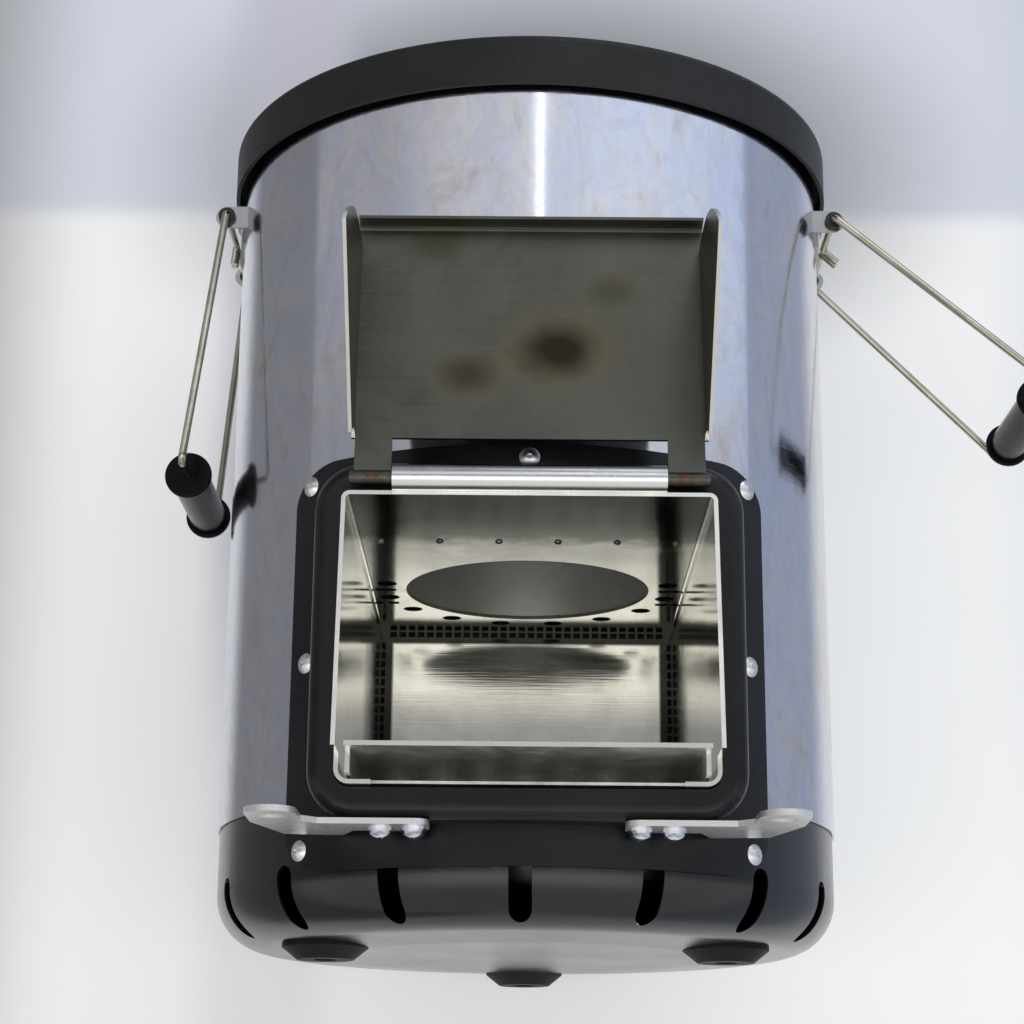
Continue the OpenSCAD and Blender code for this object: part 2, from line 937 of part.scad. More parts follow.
module bushings(side) {
    color("#141414")
        translate([side * pivot_x, 0, pivot_z])
            for (a = [0, 180])
                rotate([0, 0, a])
                    translate([0, -ear_y - strap_t / 2, 0]) facing_front() bushing();
}

module left_bushings() {
    bushings(-1);
}

module right_bushings() {
    bushings(1);
}

function unit(v) = v / norm(v);
function corner_angle(p, i) = acos(unit(p[i - 1] - p[i]) * unit(p[i + 1] - p[i]));
// Straight parts reach a little into the bends, which are a hair thicker
function straight_start(p, r, i) = r[i] == 0 ? 0 : r[i] / tan(corner_angle(p, i) / 2) - 0.2;

// A bent wire along a path of [y, z] points, with a bend radius for each point
module bent_wire(p, r) {
    last = len(p) - 1;
    for (i = [0 : last - 1]) {
        along = unit(p[i + 1] - p[i]);
        a = p[i] + along * straight_start(p, r, i);
        b = p[i + 1] - along * straight_start(p, r, i + 1);
        bar_between([0, a.x, a.y], [0, b.x, b.y], wire_r);
    }
    for (i = [1 : last - 1]) {
        back = unit(p[i - 1] - p[i]);
        ahead = unit(p[i + 1] - p[i]);
        half = corner_angle(p, i) / 2;
        centre = p[i] + unit(back + ahead) * r[i] / sin(half);
        mid = p[i] - centre;
        rotate([90, 0, 90])
            translate([centre.x, centre.y, 0])
                rotate([0, 0, atan2(mid.y, mid.x) - 90 + half])
                    rotate_extrude(angle = 180 - 2 * half, $fn = fine)
                        translate([r[i], 0]) circle(r = wire_r + 0.03, $fn = 32);
    }
}

// Places a shape drawn about the swivel axis, hanging down -Z, at its swing angle
module on_pivot(side, swing) {
    translate([side * pivot_x, 0, pivot_z]) rotate([0, -side * swing, 0]) children();
}

module bail_wire(side, swing) {
    stub_y = wire_end_y;
    color("#b5a98c")
        on_pivot(side, swing)
            bent_wire([
                [-stub_y, -wire_stub],
                [-stub_y, 0],
                [-leg_pivot_y, 0],
                [-leg_grip_y, -bail_len],
                [leg_grip_y, -bail_len],
                [leg_pivot_y, 0],
                [stub_y, 0],
                [stub_y, -wire_stub]
            ], [0, 2, pivot_bend_r, grip_bend_r, grip_bend_r, pivot_bend_r, 2, 0]);
}

module grip_flange_profile() {
    edge_r = 0.8;
    square([grip_flange_d / 2 - edge_r, grip_flange_t]);
    translate([0, edge_r]) square([grip_flange_d / 2, grip_flange_t - 2 * edge_r]);
    for (z = [edge_r, grip_flange_t - edge_r])
        translate([grip_flange_d / 2 - edge_r, z]) circle(r = edge_r, $fn = 32);
}

module grip(side, swing) {
    color("#121214")
        on_pivot(side, swing)
            translate([0, grip_len / 2, -bail_len])
                facing_front()
                    rotate_extrude($fn = fine)
                        difference() {
                            union() {
                                square([grip_d / 2, grip_len]);
                                grip_flange_profile();
                                translate([0, grip_len - grip_flange_t]) grip_flange_profile();
                            }
                            translate([0, -eps])
                                square([wire_r + running_gap, grip_len + 2 * eps]);
                        }
}

module left_bail_wire() {
    bail_wire(-1, left_swing);
}

module right_bail_wire() {
    bail_wire(1, right_swing);
}

module left_grip() {
    grip(-1, left_swing);
}

module right_grip() {
    grip(1, right_swing);
}

base_pan();
foot_left();
foot_right();
foot_rear();
foot_screws();
foot_nuts();
floor_plate();
body_shell();
seam_rivets();
top_ring();
top_deck();
pot_stand();
riser_tube();
riser_jacket();
riser_insulation();
firebox_insulation();
inner_liner();
firebox_shell();
firebox_back();
firebox_floor();
firebox_support();
fuel_shelf();
front_plate();
front_rivets();
hinge_tube();
hinge_rod();
door_panel();
left_bracket();
right_bracket();
bracket_screws();
bracket_washers();
bracket_nuts();
left_handle_bracket();
right_handle_bracket();
handle_rivets();
left_bushings();
right_bushings();
left_bail_wire();
right_bail_wire();
left_grip();
right_grip();
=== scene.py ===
"""Looks for the camping stove: materials, stage, lights and camera."""
import math

import bpy
from mathutils import Matrix, Vector


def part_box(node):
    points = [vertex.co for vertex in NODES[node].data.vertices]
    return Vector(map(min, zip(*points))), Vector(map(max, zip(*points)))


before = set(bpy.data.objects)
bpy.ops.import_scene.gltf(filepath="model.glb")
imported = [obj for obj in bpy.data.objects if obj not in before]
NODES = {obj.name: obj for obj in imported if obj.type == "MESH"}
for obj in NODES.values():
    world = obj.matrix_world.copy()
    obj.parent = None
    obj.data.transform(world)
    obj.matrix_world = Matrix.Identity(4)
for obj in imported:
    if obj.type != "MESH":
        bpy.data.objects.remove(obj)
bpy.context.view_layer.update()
scene = bpy.context.scene

# Sizes shared with the CAD, in metres
BODY_R = 0.120
HINGE_Y = -0.137
HINGE_Z = 0.1568
DOOR_REACH = 0.102
DOOR_T = 0.0012
DOOR_GAP = 0.0003
WING_INNER_R = 0.017
WING_OUTER_R = 0.093
WING_ANGLE = math.radians(50)
CEILING_Z = 0.1507

# On the door: the middle of a tab, and where its wings and the end of its lip begin
TAB_X = 0.0545
WING_X = 0.061
LIP_OUT = 0.0074

# The open door leans back on the body
DOOR_LEAN = math.asin((-HINGE_Y - BODY_R - DOOR_T / 2 - DOOR_GAP) / DOOR_REACH)
LEAN_SIN = math.sin(DOOR_LEAN)
LEAN_COS = math.cos(DOOR_LEAN)

# Heat marks on the door: across it, up it from the hinge, half width, half height, depth of colour
HEAT_MARKS = ((0.0098, 0.0505, 0.0155, 0.0125, 1.0),
              (-0.0222, 0.0405, 0.0115, 0.0085, 0.62),
              (-0.0350, 0.0930, 0.0100, 0.0070, 0.35),
              (0.0294, 0.0750, 0.0105, 0.0075, 0.38))

# The backdrop stands just behind the body, and each sheet of paper reaches far past the view
BACK_Y = 0.1265
REACH = 6

# The camera's place, the way it looks, the picture's right, and its lens and sensor in mm
CAMERA_AT = (-0.0036, -0.8644, -0.0650)
CAMERA_AHEAD = (-0.00322, 0.96088, 0.27696)
CAMERA_RIGHT = (0.99996, 0.00090, 0.00849)
LENS_MM = 77.28
SENSOR_MM = 36.0


def grey(value):
    return (value,) * 3


# ---------------------------------------------------------------- node helpers

class Graph:
    """A node tree under construction. Its methods add a node and return the output to link."""

    def __init__(self, tree, coord):
        self.tree = tree
        self.coord = tree.nodes.new("ShaderNodeTexCoord").outputs[coord]

    def node(self, kind, inputs, output=0, **settings):
        n = self.tree.nodes.new("ShaderNode" + kind)
        for key, value in settings.items():
            setattr(n, key, value)
        for key, value in inputs.items():
            if isinstance(value, bpy.types.NodeSocket):
                self.tree.links.new(value, n.inputs[key])
            else:
                n.inputs[key].default_value = value
        return n.outputs[output]

    def math(self, operation, a, b=0.0, clamp=False):
        return self.node("Math", {0: a, 1: b}, operation=operation, use_clamp=clamp)

    def axis(self, coord=None):
        n = self.tree.nodes.new("ShaderNodeSeparateXYZ")
        self.tree.links.new(coord or self.coord, n.inputs[0])
        return n.outputs

    def remap(self, value, low, high, to_low=0.0, to_high=1.0, smooth=False):
        inputs = {"Value": value, "From Min": low, "From Max": high, "To Min": to_low,
                  "To Max": to_high}
        kind = "SMOOTHSTEP" if smooth else "LINEAR"
        return self.node("MapRange", inputs, clamp=True, interpolation_type=kind)

    def ramp(self, value, *stops):
        n = self.tree.nodes.new("ShaderNodeValToRGB")
        self.tree.links.new(value, n.inputs[0])
        elements = n.color_ramp.elements
        while len(elements) < len(stops):
            elements.new(1.0)
        for element, (position, color) in zip(elements, stops):
            element.position = position
            element.color = (*color, 1)
        return n.outputs[0]

    def mix(self, factor, a, b, blend="MIX"):
        n = self.tree.nodes.new("ShaderNodeMix")
        n.data_type = "RGBA"
        n.blend_type = blend
        for socket, value in ((n.inputs[0], factor), (n.inputs[6], a), (n.inputs[7], b)):
            if isinstance(value, bpy.types.NodeSocket):
                self.tree.links.new(value, socket)
            else:
                socket.default_value = value if isinstance(value, float) else (*value, 1)
        return n.outputs[2]


class Shader(Graph):
    """A material, built round the Principled BSDF."""

    def __init__(self, name, color, metallic=0.0, roughness=0.5, **inputs):
        self.mat = bpy.data.materials.new(name)
        self.mat.use_nodes = True
        super().__init__(self.mat.node_tree, "Object")
        self.bsdf = self.tree.nodes["Principled BSDF"]
        self.bsdf.inputs["Base Color"].default_value = (*color, 1)
        self.bsdf.inputs["Metallic"].default_value = metallic
        self.bsdf.inputs["Roughness"].default_value = roughness
        for key, value in inputs.items():
            self.bsdf.inputs[key.replace("_", " ")].default_value = value

    def set(self, name, value):
        self.tree.links.new(value, self.bsdf.inputs[name])

    def scaled(self, scale, coord=None, rotation=(0, 0, 0)):
        inputs = {"Vector": coord or self.coord, "Scale": scale, "Rotation": rotation}
        return self.node("Mapping", inputs)

    def unrolled(self, radius):
        """Coordinates that lay an upright cylinder out flat: x along its girth, y its height."""
        x, y, z = self.axis()
        angle = self.math("ARCTAN2", x, self.math("MULTIPLY", y, -1.0))
        girth = self.math("MULTIPLY", angle, radius)
        return self.node("CombineXYZ", {0: girth, 1: z, 2: 0.0})

    def noise(self, scale, detail=3.0, rough=0.5, distortion=0.0, coord=None):
        inputs = {"Vector": coord or self.coord, "Scale": scale, "Detail": detail,
                  "Roughness": rough, "Distortion": distortion}
        return self.node("TexNoise", inputs)

    def bump(self, height, distance, strength=1.0, under=None):
        inputs = {"Height": height, "Distance": distance, "Strength": strength}
        if under is not None:
            inputs["Normal"] = under
        out = self.node("Bump", inputs)
        self.set("Normal", out)
        return out

    def spot(self, centre, size, warp=0.0, warp_scale=60.0):
        """1 at a centre, falling to 0 at a distance of size, with a ragged edge."""
        offset = self.node("VectorMath", {0: self.coord, 1: centre}, operation="SUBTRACT")
        scaled = self.node("VectorMath", {0: offset, 1: tuple(1 / s for s in size)},
                           operation="MULTIPLY")
        length = self.node("VectorMath", {0: scaled}, output="Value", operation="LENGTH")
        if warp:
            inputs = {0: self.noise(warp_scale, 4.0, 0.6), 1: warp, 2: -warp / 2}
            ragged = self.node("Math", inputs, operation="MULTIPLY_ADD")
            length = self.math("ADD", length, ragged)
        return self.math("SUBTRACT", 1.0, length, clamp=True)


def paint(shader, *names):
    """Gives one material to whole nodes."""
    for name in names:
        data = NODES[name].data
        data.materials.clear()
        data.materials.append(shader.mat)


# ------------------------------------------------------------------- materials

def hairlines(s, coord, across=2500.0, along=60.0, turn=0.0):
    """Fine scratches that run along x of coord, turned by an angle."""
    lines = s.scaled((along, across, across), coord, rotation=(0, 0, turn))
    return s.noise(1.0, 2.0, 0.6, coord=lines)


def body_steel():
    s = Shader("body_steel", (0.60, 0.60, 0.63), metallic=1.0, roughness=0.1)
    flat = s.unrolled(BODY_R)
    streaky = s.scaled((1.0, 0.5, 1.0), flat, rotation=(0, 0, 0.35))
    clouds = s.noise(11.0, 6.0, 0.62, 1.6, streaky)
    patches = s.noise(27.0, 7.0, 0.68, 2.2, streaky)
    # Heat tint: tan, straw, neutral, lavender and blue, in drifting clouds
    tint = s.ramp(clouds, (0.30, (0.50, 0.42, 0.36)), (0.42, (0.58, 0.57, 0.58)),
                  (0.50, (0.50, 0.53, 0.64)), (0.58, (0.60, 0.60, 0.62)),
                  (0.70, (0.44, 0.50, 0.66)))
    stain = s.ramp(patches, (0.32, (0.44, 0.37, 0.33)), (0.43, (0.60, 0.60, 0.61)),
                   (0.55, (0.53, 0.56, 0.68)), (0.68, (0.62, 0.62, 0.62)))
    color = s.mix(0.5, tint, stain)
    smear = s.remap(s.noise(48.0, 7.0, 0.72, 3.0, streaky), 0.44, 0.66)
    color = s.mix(s.math("MULTIPLY", smear, 0.30), color, (0.40, 0.38, 0.40))
    s.set("Base Color", color)
    scratches = s.math("MULTIPLY", hairlines(s, flat, 3200.0, 45.0, 0.5),
                       hairlines(s, flat, 2600.0, 60.0, -0.9))
    rough = s.math("ADD", s.remap(clouds, 0.3, 0.7, 0.06, 0.11),
                   s.remap(scratches, 0.2, 0.42, 0.0, 0.08))
    s.set("Roughness", s.math("ADD", rough, s.math("MULTIPLY", smear, 0.07)))
    wave = s.bump(s.noise(7.0, 1.0, 0.4, 0.0, flat), 0.0016, 0.3)
    s.bump(scratches, 0.00005, 0.4, wave)
    return s


def powder_coat(name, gloss, low, high):
    s = Shader(name, (0.005, 0.005, 0.006), roughness=low, Specular_IOR_Level=gloss)
    cloud = s.noise(22.0, 4.0, 0.6)
    s.set("Base Color", s.ramp(cloud, (0.35, (0.0022, 0.0026, 0.0040)),
                               (0.65, (0.0045, 0.0051, 0.0074))))
    peel = s.noise(1500.0, 3.0, 0.55)
    s.set("Roughness", s.math("ADD", s.remap(cloud, 0.3, 0.7, low, high),
                              s.remap(peel, 0.4, 0.7, 0.0, 0.08)))
    s.bump(peel, 0.00008, 0.5)
    return s


def ring_paint():
    s = Shader("ring_paint", (0.008, 0.0083, 0.0090), roughness=0.5, Specular_IOR_Level=0.34)
    cloud = s.noise(30.0, 5.0, 0.65)
    s.set("Base Color", s.ramp(cloud, (0.32, (0.005, 0.0053, 0.0060)),
                               (0.68, (0.011, 0.0113, 0.0122))))
    grain = s.noise(1100.0, 4.0, 0.6)
    s.set("Roughness", s.remap(grain, 0.3, 0.7, 0.42, 0.66))
    s.bump(grain, 0.00016, 0.7)
    return s


def door_steel():
    s = Shader("door_steel", (0.13, 0.132, 0.115), metallic=1.0, roughness=0.35)
    x, y, z = s.axis()
    cloud = s.noise(28.0, 5.0, 0.65, 0.6)
    color = s.ramp(cloud, (0.3, (0.076, 0.080, 0.066)), (0.7, (0.122, 0.126, 0.106)))
    rolled = s.noise(1.0, 3.0, 0.6, coord=s.scaled((14.0, 900.0, 900.0)))
    color = s.mix(s.remap(rolled, 0.40, 0.72, 0.0, 0.22), color, (0.16, 0.162, 0.14))
    # Where the fire has scorched the inside of the door
    for across, up, wide, high, depth in HEAT_MARKS:
        centre = (across, HINGE_Y + up * LEAN_SIN, HINGE_Z + up * LEAN_COS)
        halo = s.spot(centre, (wide * 1.7, 0.05, high * 1.7), 0.5, 55.0)
        color = s.mix(s.math("MULTIPLY", s.remap(halo, 0.0, 0.55), 0.55 * depth), color,
                      (0.150, 0.115, 0.065))
        core = s.spot(centre, (wide * 1.15, 0.05, high * 1.15), 0.55, 75.0)
        color = s.mix(s.math("MULTIPLY", s.remap(core, 0.0, 0.7), 0.88 * depth), color,
                      (0.018, 0.013, 0.010))
    # A painted highlight along the inside of the bend, lighter than the door's own colour
    along = s.math("ADD", s.math("MULTIPLY", s.math("SUBTRACT", y, HINGE_Y), LEAN_SIN),
                   s.math("MULTIPLY", s.math("SUBTRACT", z, HINGE_Z), LEAN_COS))
    corner = DOOR_REACH - DOOR_T
    painted_bend_highlight = s.math("MULTIPLY", s.remap(along, corner - 0.0010, corner - 0.0006),
                  s.remap(along, corner - 0.0002, corner, 1.0, 0.0))
    color = s.mix(s.math("MULTIPLY", painted_bend_highlight, 0.8), color, (0.62, 0.61, 0.56))
    s.set("Base Color", color)
    s.set("Roughness", s.math("ADD", s.remap(cloud, 0.3, 0.7, 0.27, 0.42),
                              s.remap(rolled, 0.3, 0.7, -0.05, 0.07)))
    s.bump(rolled, 0.00005, 0.5)
    return s


def dark_folds(s, color):
    """Paints the perforated folds round the firebox's back nearly black."""
    x, y, z = s.axis()
    low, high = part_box("firebox_back")
    folds = s.math("MAXIMUM", s.remap(z, high[2] - 0.0062, high[2] - 0.0050),
                   s.remap(s.math("ABSOLUTE", x), high[0] - 0.0062, high[0] - 0.0050))
    return s.mix(s.math("MULTIPLY", folds, 0.985), color, (0.016, 0.016, 0.014))


def darkened_ceiling(s, color):
    """Darkens the firebox's ceiling towards the mouth, with a ragged edge."""
    x, y, z = s.axis()
    ragged = s.math("ADD", y, s.remap(s.noise(60.0, 4.0, 0.6), 0.3, 0.7, -0.006, 0.006))
    darkening = s.math("MULTIPLY", s.remap(z, CEILING_Z - 0.0032, CEILING_Z - 0.0022),
                    s.remap(ragged, -0.066, -0.086, smooth=True))
    return s.mix(s.math("MULTIPLY", darkening, 0.90), color, (0.06, 0.058, 0.05))


def firebox_steel(name, darkening):
    s = Shader(name, (0.62, 0.61, 0.57), metallic=1.0, roughness=0.16)
    cloud = s.noise(20.0, 5.0, 0.65, 1.0)
    soot = s.remap(s.noise(45.0, 6.0, 0.7, 1.5), 0.50, 0.78)
    color = s.ramp(cloud, (0.30, (0.52, 0.51, 0.46)), (0.50, (0.66, 0.655, 0.615)),
                   (0.70, (0.74, 0.735, 0.70)))
    color = s.mix(s.math("MULTIPLY", soot, 0.30), color, (0.36, 0.33, 0.27))
    s.set("Base Color", darkening(s, color))
    lines = s.noise(1.0, 2.0, 0.6, coord=s.scaled((30.0, 1800.0, 1800.0)))
    s.set("Roughness", s.math("ADD", s.remap(cloud, 0.3, 0.7, 0.05, 0.12),
                              s.remap(lines, 0.35, 0.7, 0.0, 0.06)))
    warp = s.bump(s.noise(13.0, 1.0, 0.5), 0.0022, 0.3)
    s.bump(lines, 0.00004, 0.4, warp)
    return s


def shelf_steel():
    s = Shader("shelf_steel", (0.17, 0.17, 0.155), metallic=1.0, roughness=0.4)
    cloud = s.noise(35.0, 5.0, 0.7, 1.0)
    color = s.ramp(cloud, (0.32, (0.52, 0.52, 0.48)), (0.68, (0.92, 0.91, 0.86)))
    specks = s.remap(s.node("TexVoronoi", {"Vector": s.coord, "Scale": 700.0}), 0.14, 0.22,
                     1.0, 0.0)
    where = s.remap(s.noise(90.0, 4.0, 0.6), 0.52, 0.62)
    dust = s.math("MULTIPLY", specks, where)
    s.set("Base Color", s.mix(dust, color, (0.62, 0.61, 0.58)))
    s.set("Metallic", s.math("SUBTRACT", 1.0, dust))
    s.set("Roughness", s.math("ADD", s.remap(cloud, 0.3, 0.7, 0.26, 0.5), dust))
    s.bump(s.noise(400.0, 3.0, 0.6), 0.00005, 0.5)
    return s


def bright_steel(name, color, low, high, wear=900.0, metallic=1.0):
    s = Shader(name, color, metallic=metallic, roughness=low)
    cloud = s.noise(55.0, 4.0, 0.6, 0.5)
    darker = tuple(c * 0.86 for c in color)
    s.set("Base Color", s.mix(s.remap(cloud, 0.35, 0.7), color, darker))
    rub = s.noise(wear, 3.0, 0.65)
    s.set("Roughness", s.math("ADD", s.remap(cloud, 0.3, 0.7, low, high),
                              s.remap(rub, 0.45, 0.75, 0.0, 0.08)))
    s.bump(rub, 0.00003, 0.4)
    return s


def tube_steel():
    """The hinge tube, with painted shade along its top and a painted reflection of the pale paper
    along its underside.
    """
    s = Shader("tube_steel", (0.64, 0.645, 0.65), metallic=1.0, roughness=0.2)
    height = s.math("SUBTRACT", s.axis()[2], HINGE_Z)
    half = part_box("hinge_tube")[1][2] - HINGE_Z
    # Painted shade and reflection: pale low on the tube, dark along its top
    s.set("Base Color", s.ramp(s.remap(height, -half, half), (0.10, (0.90, 0.90, 0.90)),
                               (0.45, (0.70, 0.71, 0.72)), (0.66, (0.52, 0.53, 0.55)),
                               (0.92, (0.26, 0.27, 0.28))))
    cloud = s.noise(55.0, 4.0, 0.6, 0.5)
    rub = s.noise(1800.0, 3.0, 0.65)
    s.set("Roughness", s.math("ADD", s.remap(cloud, 0.3, 0.7, 0.16, 0.26),
                              s.remap(rub, 0.45, 0.75, 0.0, 0.08)))
    s.bump(rub, 0.00003, 0.4)
    return s


def wire_steel():
    s = Shader("wire_steel", (0.62, 0.57, 0.44), metallic=1.0, roughness=0.2)
    cloud = s.noise(70.0, 4.0, 0.6, 0.4)
    s.set("Base Color", s.ramp(cloud, (0.32, (0.38, 0.35, 0.27)), (0.68, (0.54, 0.52, 0.44))))
    draw = s.noise(1.0, 2.0, 0.6, coord=s.scaled((2600.0, 2600.0, 60.0)))
    s.set("Roughness", s.remap(draw, 0.3, 0.7, 0.07, 0.16))
    s.bump(draw, 0.00003, 0.5)
    return s


def rod_steel():
    s = Shader("rod_steel", (0.10, 0.10, 0.095), metallic=1.0, roughness=0.35)
    x, y, z = s.axis()
    from_weld = s.math("SUBTRACT", s.math("ABSOLUTE", x), TAB_X)
    heat = s.remap(s.math("ADD", s.math("ABSOLUTE", from_weld),
                          s.remap(s.noise(400.0, 3.0), 0.3, 0.7, -0.0015, 0.0015)),
                   0.0, 0.0060, 0.0, 1.0)
    tempered = s.ramp(heat, (0.0, (0.13, 0.080, 0.045)), (0.25, (0.10, 0.070, 0.045)),
                      (0.45, (0.07, 0.065, 0.07)), (0.62, (0.11, 0.10, 0.07)),
                      (1.0, (0.085, 0.088, 0.083)))
    s.set("Base Color", tempered)
    s.set("Roughness", s.remap(s.noise(300.0, 3.0), 0.3, 0.7, 0.26, 0.44))
    s.bump(s.noise(900.0, 3.0), 0.00006, 0.6)
    return s


def galvanised():
    s = Shader("galvanised", (0.5, 0.51, 0.52), metallic=1.0, roughness=0.4)
    cells = s.node("TexVoronoi", {"Vector": s.coord, "Scale": 130.0, "Randomness": 1.0},
                   output="Color")
    spangle = s.axis(cells)[0]
    s.set("Base Color", s.ramp(spangle, (0.1, (0.38, 0.39, 0.40)), (0.9, (0.58, 0.59, 0.60))))
    s.set("Roughness", s.remap(spangle, 0.0, 1.0, 0.30, 0.52))
    s.bump(s.noise(700.0, 3.0), 0.00005, 0.5)
    return s


def cast_iron(name, dark, light):
    s = Shader(name, grey(light), roughness=0.7, Specular_IOR_Level=0.4)
    cloud = s.noise(40.0, 5.0, 0.65)
    s.set("Base Color", s.ramp(cloud, (0.3, grey(dark)), (0.7, grey(light))))
    sand = s.noise(900.0, 4.0, 0.6)
    s.set("Roughness", s.remap(sand, 0.3, 0.7, 0.55, 0.82))
    rough_skin = s.bump(s.noise(220.0, 4.0, 0.65), 0.0006, 0.5)
    s.bump(sand, 0.00025, 0.7, rough_skin)
    return s


def moulded(name, color, low, high, skin, depth, gloss=0.5):
    s = Shader(name, color, roughness=low, Specular_IOR_Level=gloss)
    cloud = s.noise(80.0, 4.0, 0.6)
    lighter = tuple(c * 1.8 for c in color)
    s.set("Base Color", s.mix(s.remap(cloud, 0.4, 0.75, 0.0, 0.8), color, lighter))
    grain = s.noise(skin, 3.0, 0.6)
    s.set("Roughness", s.remap(grain, 0.3, 0.7, low, high))
    s.bump(grain, depth, 0.5)
    return s


def fibre_blanket(name, dark, light):
    s = Shader(name, light, roughness=0.95)
    mat = s.noise(1.0, 5.0, 0.7, 1.5, s.scaled((160.0, 160.0, 420.0)))
    s.set("Base Color", s.ramp(mat, (0.3, dark), (0.7, light)))
    s.set("Roughness", s.remap(mat, 0.3, 0.7, 0.88, 1.0))
    s.bump(mat, 0.0012, 0.8)
    return s


STEEL_BODY = body_steel()
COAT = powder_coat("powder_coat", 0.34, 0.24, 0.34)
PAN_COAT = powder_coat("pan_coat", 0.56, 0.13, 0.20)
RING = ring_paint()
DOOR = door_steel()
FIREBOX = firebox_steel("firebox_steel", darkened_ceiling)
FIREBOX_BACK = firebox_steel("firebox_back_steel", dark_folds)
RISER = bright_steel("riser_steel", (0.80, 0.79, 0.75), 0.34, 0.46, 1200.0)
SHELF = shelf_steel()
ZINC = bright_steel("zinc_plate", (0.66, 0.70, 0.78), 0.10, 0.18)
BRACKET = bright_steel("bracket_steel", (0.88, 0.87, 0.86), 0.24, 0.30, 3000.0, metallic=0.8)
RIVET = bright_steel("rivet_aluminium", (0.72, 0.73, 0.75), 0.24, 0.38, 1500.0)
TUBE = tube_steel()
# The handle brackets get a dark steel as painted shade, standing in for the shadow they sit in
STRAP_PAINTED_SHADE = bright_steel("strap_steel_painted_shade", (0.36, 0.365, 0.37), 0.16, 0.26, 1400.0)
WIRE = wire_steel()
ROD = rod_steel()
ZINC_SHEET = galvanised()
IRON = cast_iron("cast_iron", 0.016, 0.036)
DECK_IRON = cast_iron("deck_iron", 0.020, 0.042)
RUBBER = moulded("foot_rubber", (0.005, 0.005, 0.0055), 0.50, 0.70, 900.0, 0.00015, gloss=0.2)
BUSHING = moulded("bushing_plastic", (0.008, 0.008, 0.009), 0.35, 0.5, 900.0, 0.00008)
GRIP = moulded("grip_plastic", (0.003, 0.003, 0.004), 0.16, 0.26, 500.0, 0.00003, gloss=0.10)
FIBRE = fibre_blanket("fibre_blanket", (0.60, 0.56, 0.47), (0.80, 0.77, 0.70))
# The firebox insulation, seen only through the holes, is painted near black as painted shade of
# the narrow gap behind them
SHADE_BLANKET = fibre_blanket("painted_shade_blanket", (0.020, 0.019, 0.017), (0.050, 0.046, 0.040))

paint(STEEL_BODY, "body_shell")
# The floor plate takes the black coat as painted shade: seen through the pan's slots, it stands in
# for the dark inside of the pan
paint(COAT, "front_plate", "floor_plate")
paint(PAN_COAT, "base_pan")
paint(RING, "top_ring")
paint(DOOR, "door_panel")
paint(FIREBOX, "firebox_shell")
paint(FIREBOX_BACK, "firebox_back")
paint(RISER, "riser_tube")
paint(SHELF, "firebox_floor", "fuel_shelf")
paint(BRACKET, "left_bracket", "right_bracket")
paint(STRAP_PAINTED_SHADE, "left_handle_bracket", "right_handle_bracket")
paint(ZINC, "foot_screws", "foot_nuts", "bracket_screws", "bracket_washers", "bracket_nuts")
paint(RIVET, "seam_rivets", "front_rivets", "handle_rivets")
paint(TUBE, "hinge_tube")
paint(WIRE, "left_bail_wire", "right_bail_wire")
paint(ROD, "hinge_rod")
paint(ZINC_SHEET, "riser_jacket", "inner_liner", "firebox_support")
paint(IRON, "pot_stand")
paint(DECK_IRON, "top_deck")
paint(RUBBER, "foot_left", "foot_right", "foot_rear")
paint(BUSHING, "left_bushings", "right_bushings")
paint(GRIP, "left_grip", "right_grip")
paint(FIBRE, "riser_insulation")
paint(SHADE_BLANKET, "firebox_insulation")


def trim(name, shader, test):
    """Gives a second material to the faces of a node that a test picks by centre and normal."""
    mesh = NODES[name].data
    mesh.materials.append(shader.mat)
    slot = len(mesh.materials) - 1
    turn = NODES[name].matrix_world
    for face in mesh.polygons:
        if test(turn @ face.center, (turn.to_3x3() @ face.normal).normalized()):
            face.material_index = slot


def on_door(point):
    """A point's distance up the door from the hinge axis, and its distance in front of it."""
    y, z = point.y - HINGE_Y, point.z - HINGE_Z
    return y * LEAN_SIN + z * LEAN_COS, z * LEAN_SIN - y * LEAN_COS


def is_door_cut(centre, normal):
    """The sawn edges of the door's wings and the ends of its lip."""
    if abs(normal.x) > 0.9 or abs(centre.x) < WING_X:
        return False
    along, out = on_door(centre)
    reach = math.hypot(along, out)
    curved = abs(reach - WING_OUTER_R) < 0.0006 or reach < WING_INNER_R + 0.0015
    slanted = abs(math.atan2(out, along) - WING_ANGLE) < 0.012
    return curved or slanted or out > LIP_OUT


def is_pan_inside(centre, normal):
    """The pan's inner faces and the cut walls of its slots."""
    outward = (normal.x * centre.x + normal.y * centre.y) / math.hypot(centre.x, centre.y)
    slot_wall = abs(normal.z) < 0.3 and outward < 0.15
    return outward < -0.02 or normal.z > 0.5 or slot_wall


def faces_front(before):
    """Picks the faces that look forwards from in front of a given y."""
    return lambda centre, normal: centre.y < before and normal.y < -0.9


DULL = moulded("dull_black", (0.0025, 0.0025, 0.0028), 0.6, 0.8, 900.0, 0.0001, gloss=0.1)
trim("base_pan", DULL, is_pan_inside)

CUT = bright_steel("cut_edge", (0.78, 0.77, 0.72), 0.22, 0.34, 1600.0)
trim("door_panel", CUT, is_door_cut)
trim("firebox_shell", CUT, faces_front(-0.130))
trim("fuel_shelf", CUT, faces_front(-0.140))


# ----------------------------------------------------------------------- stage

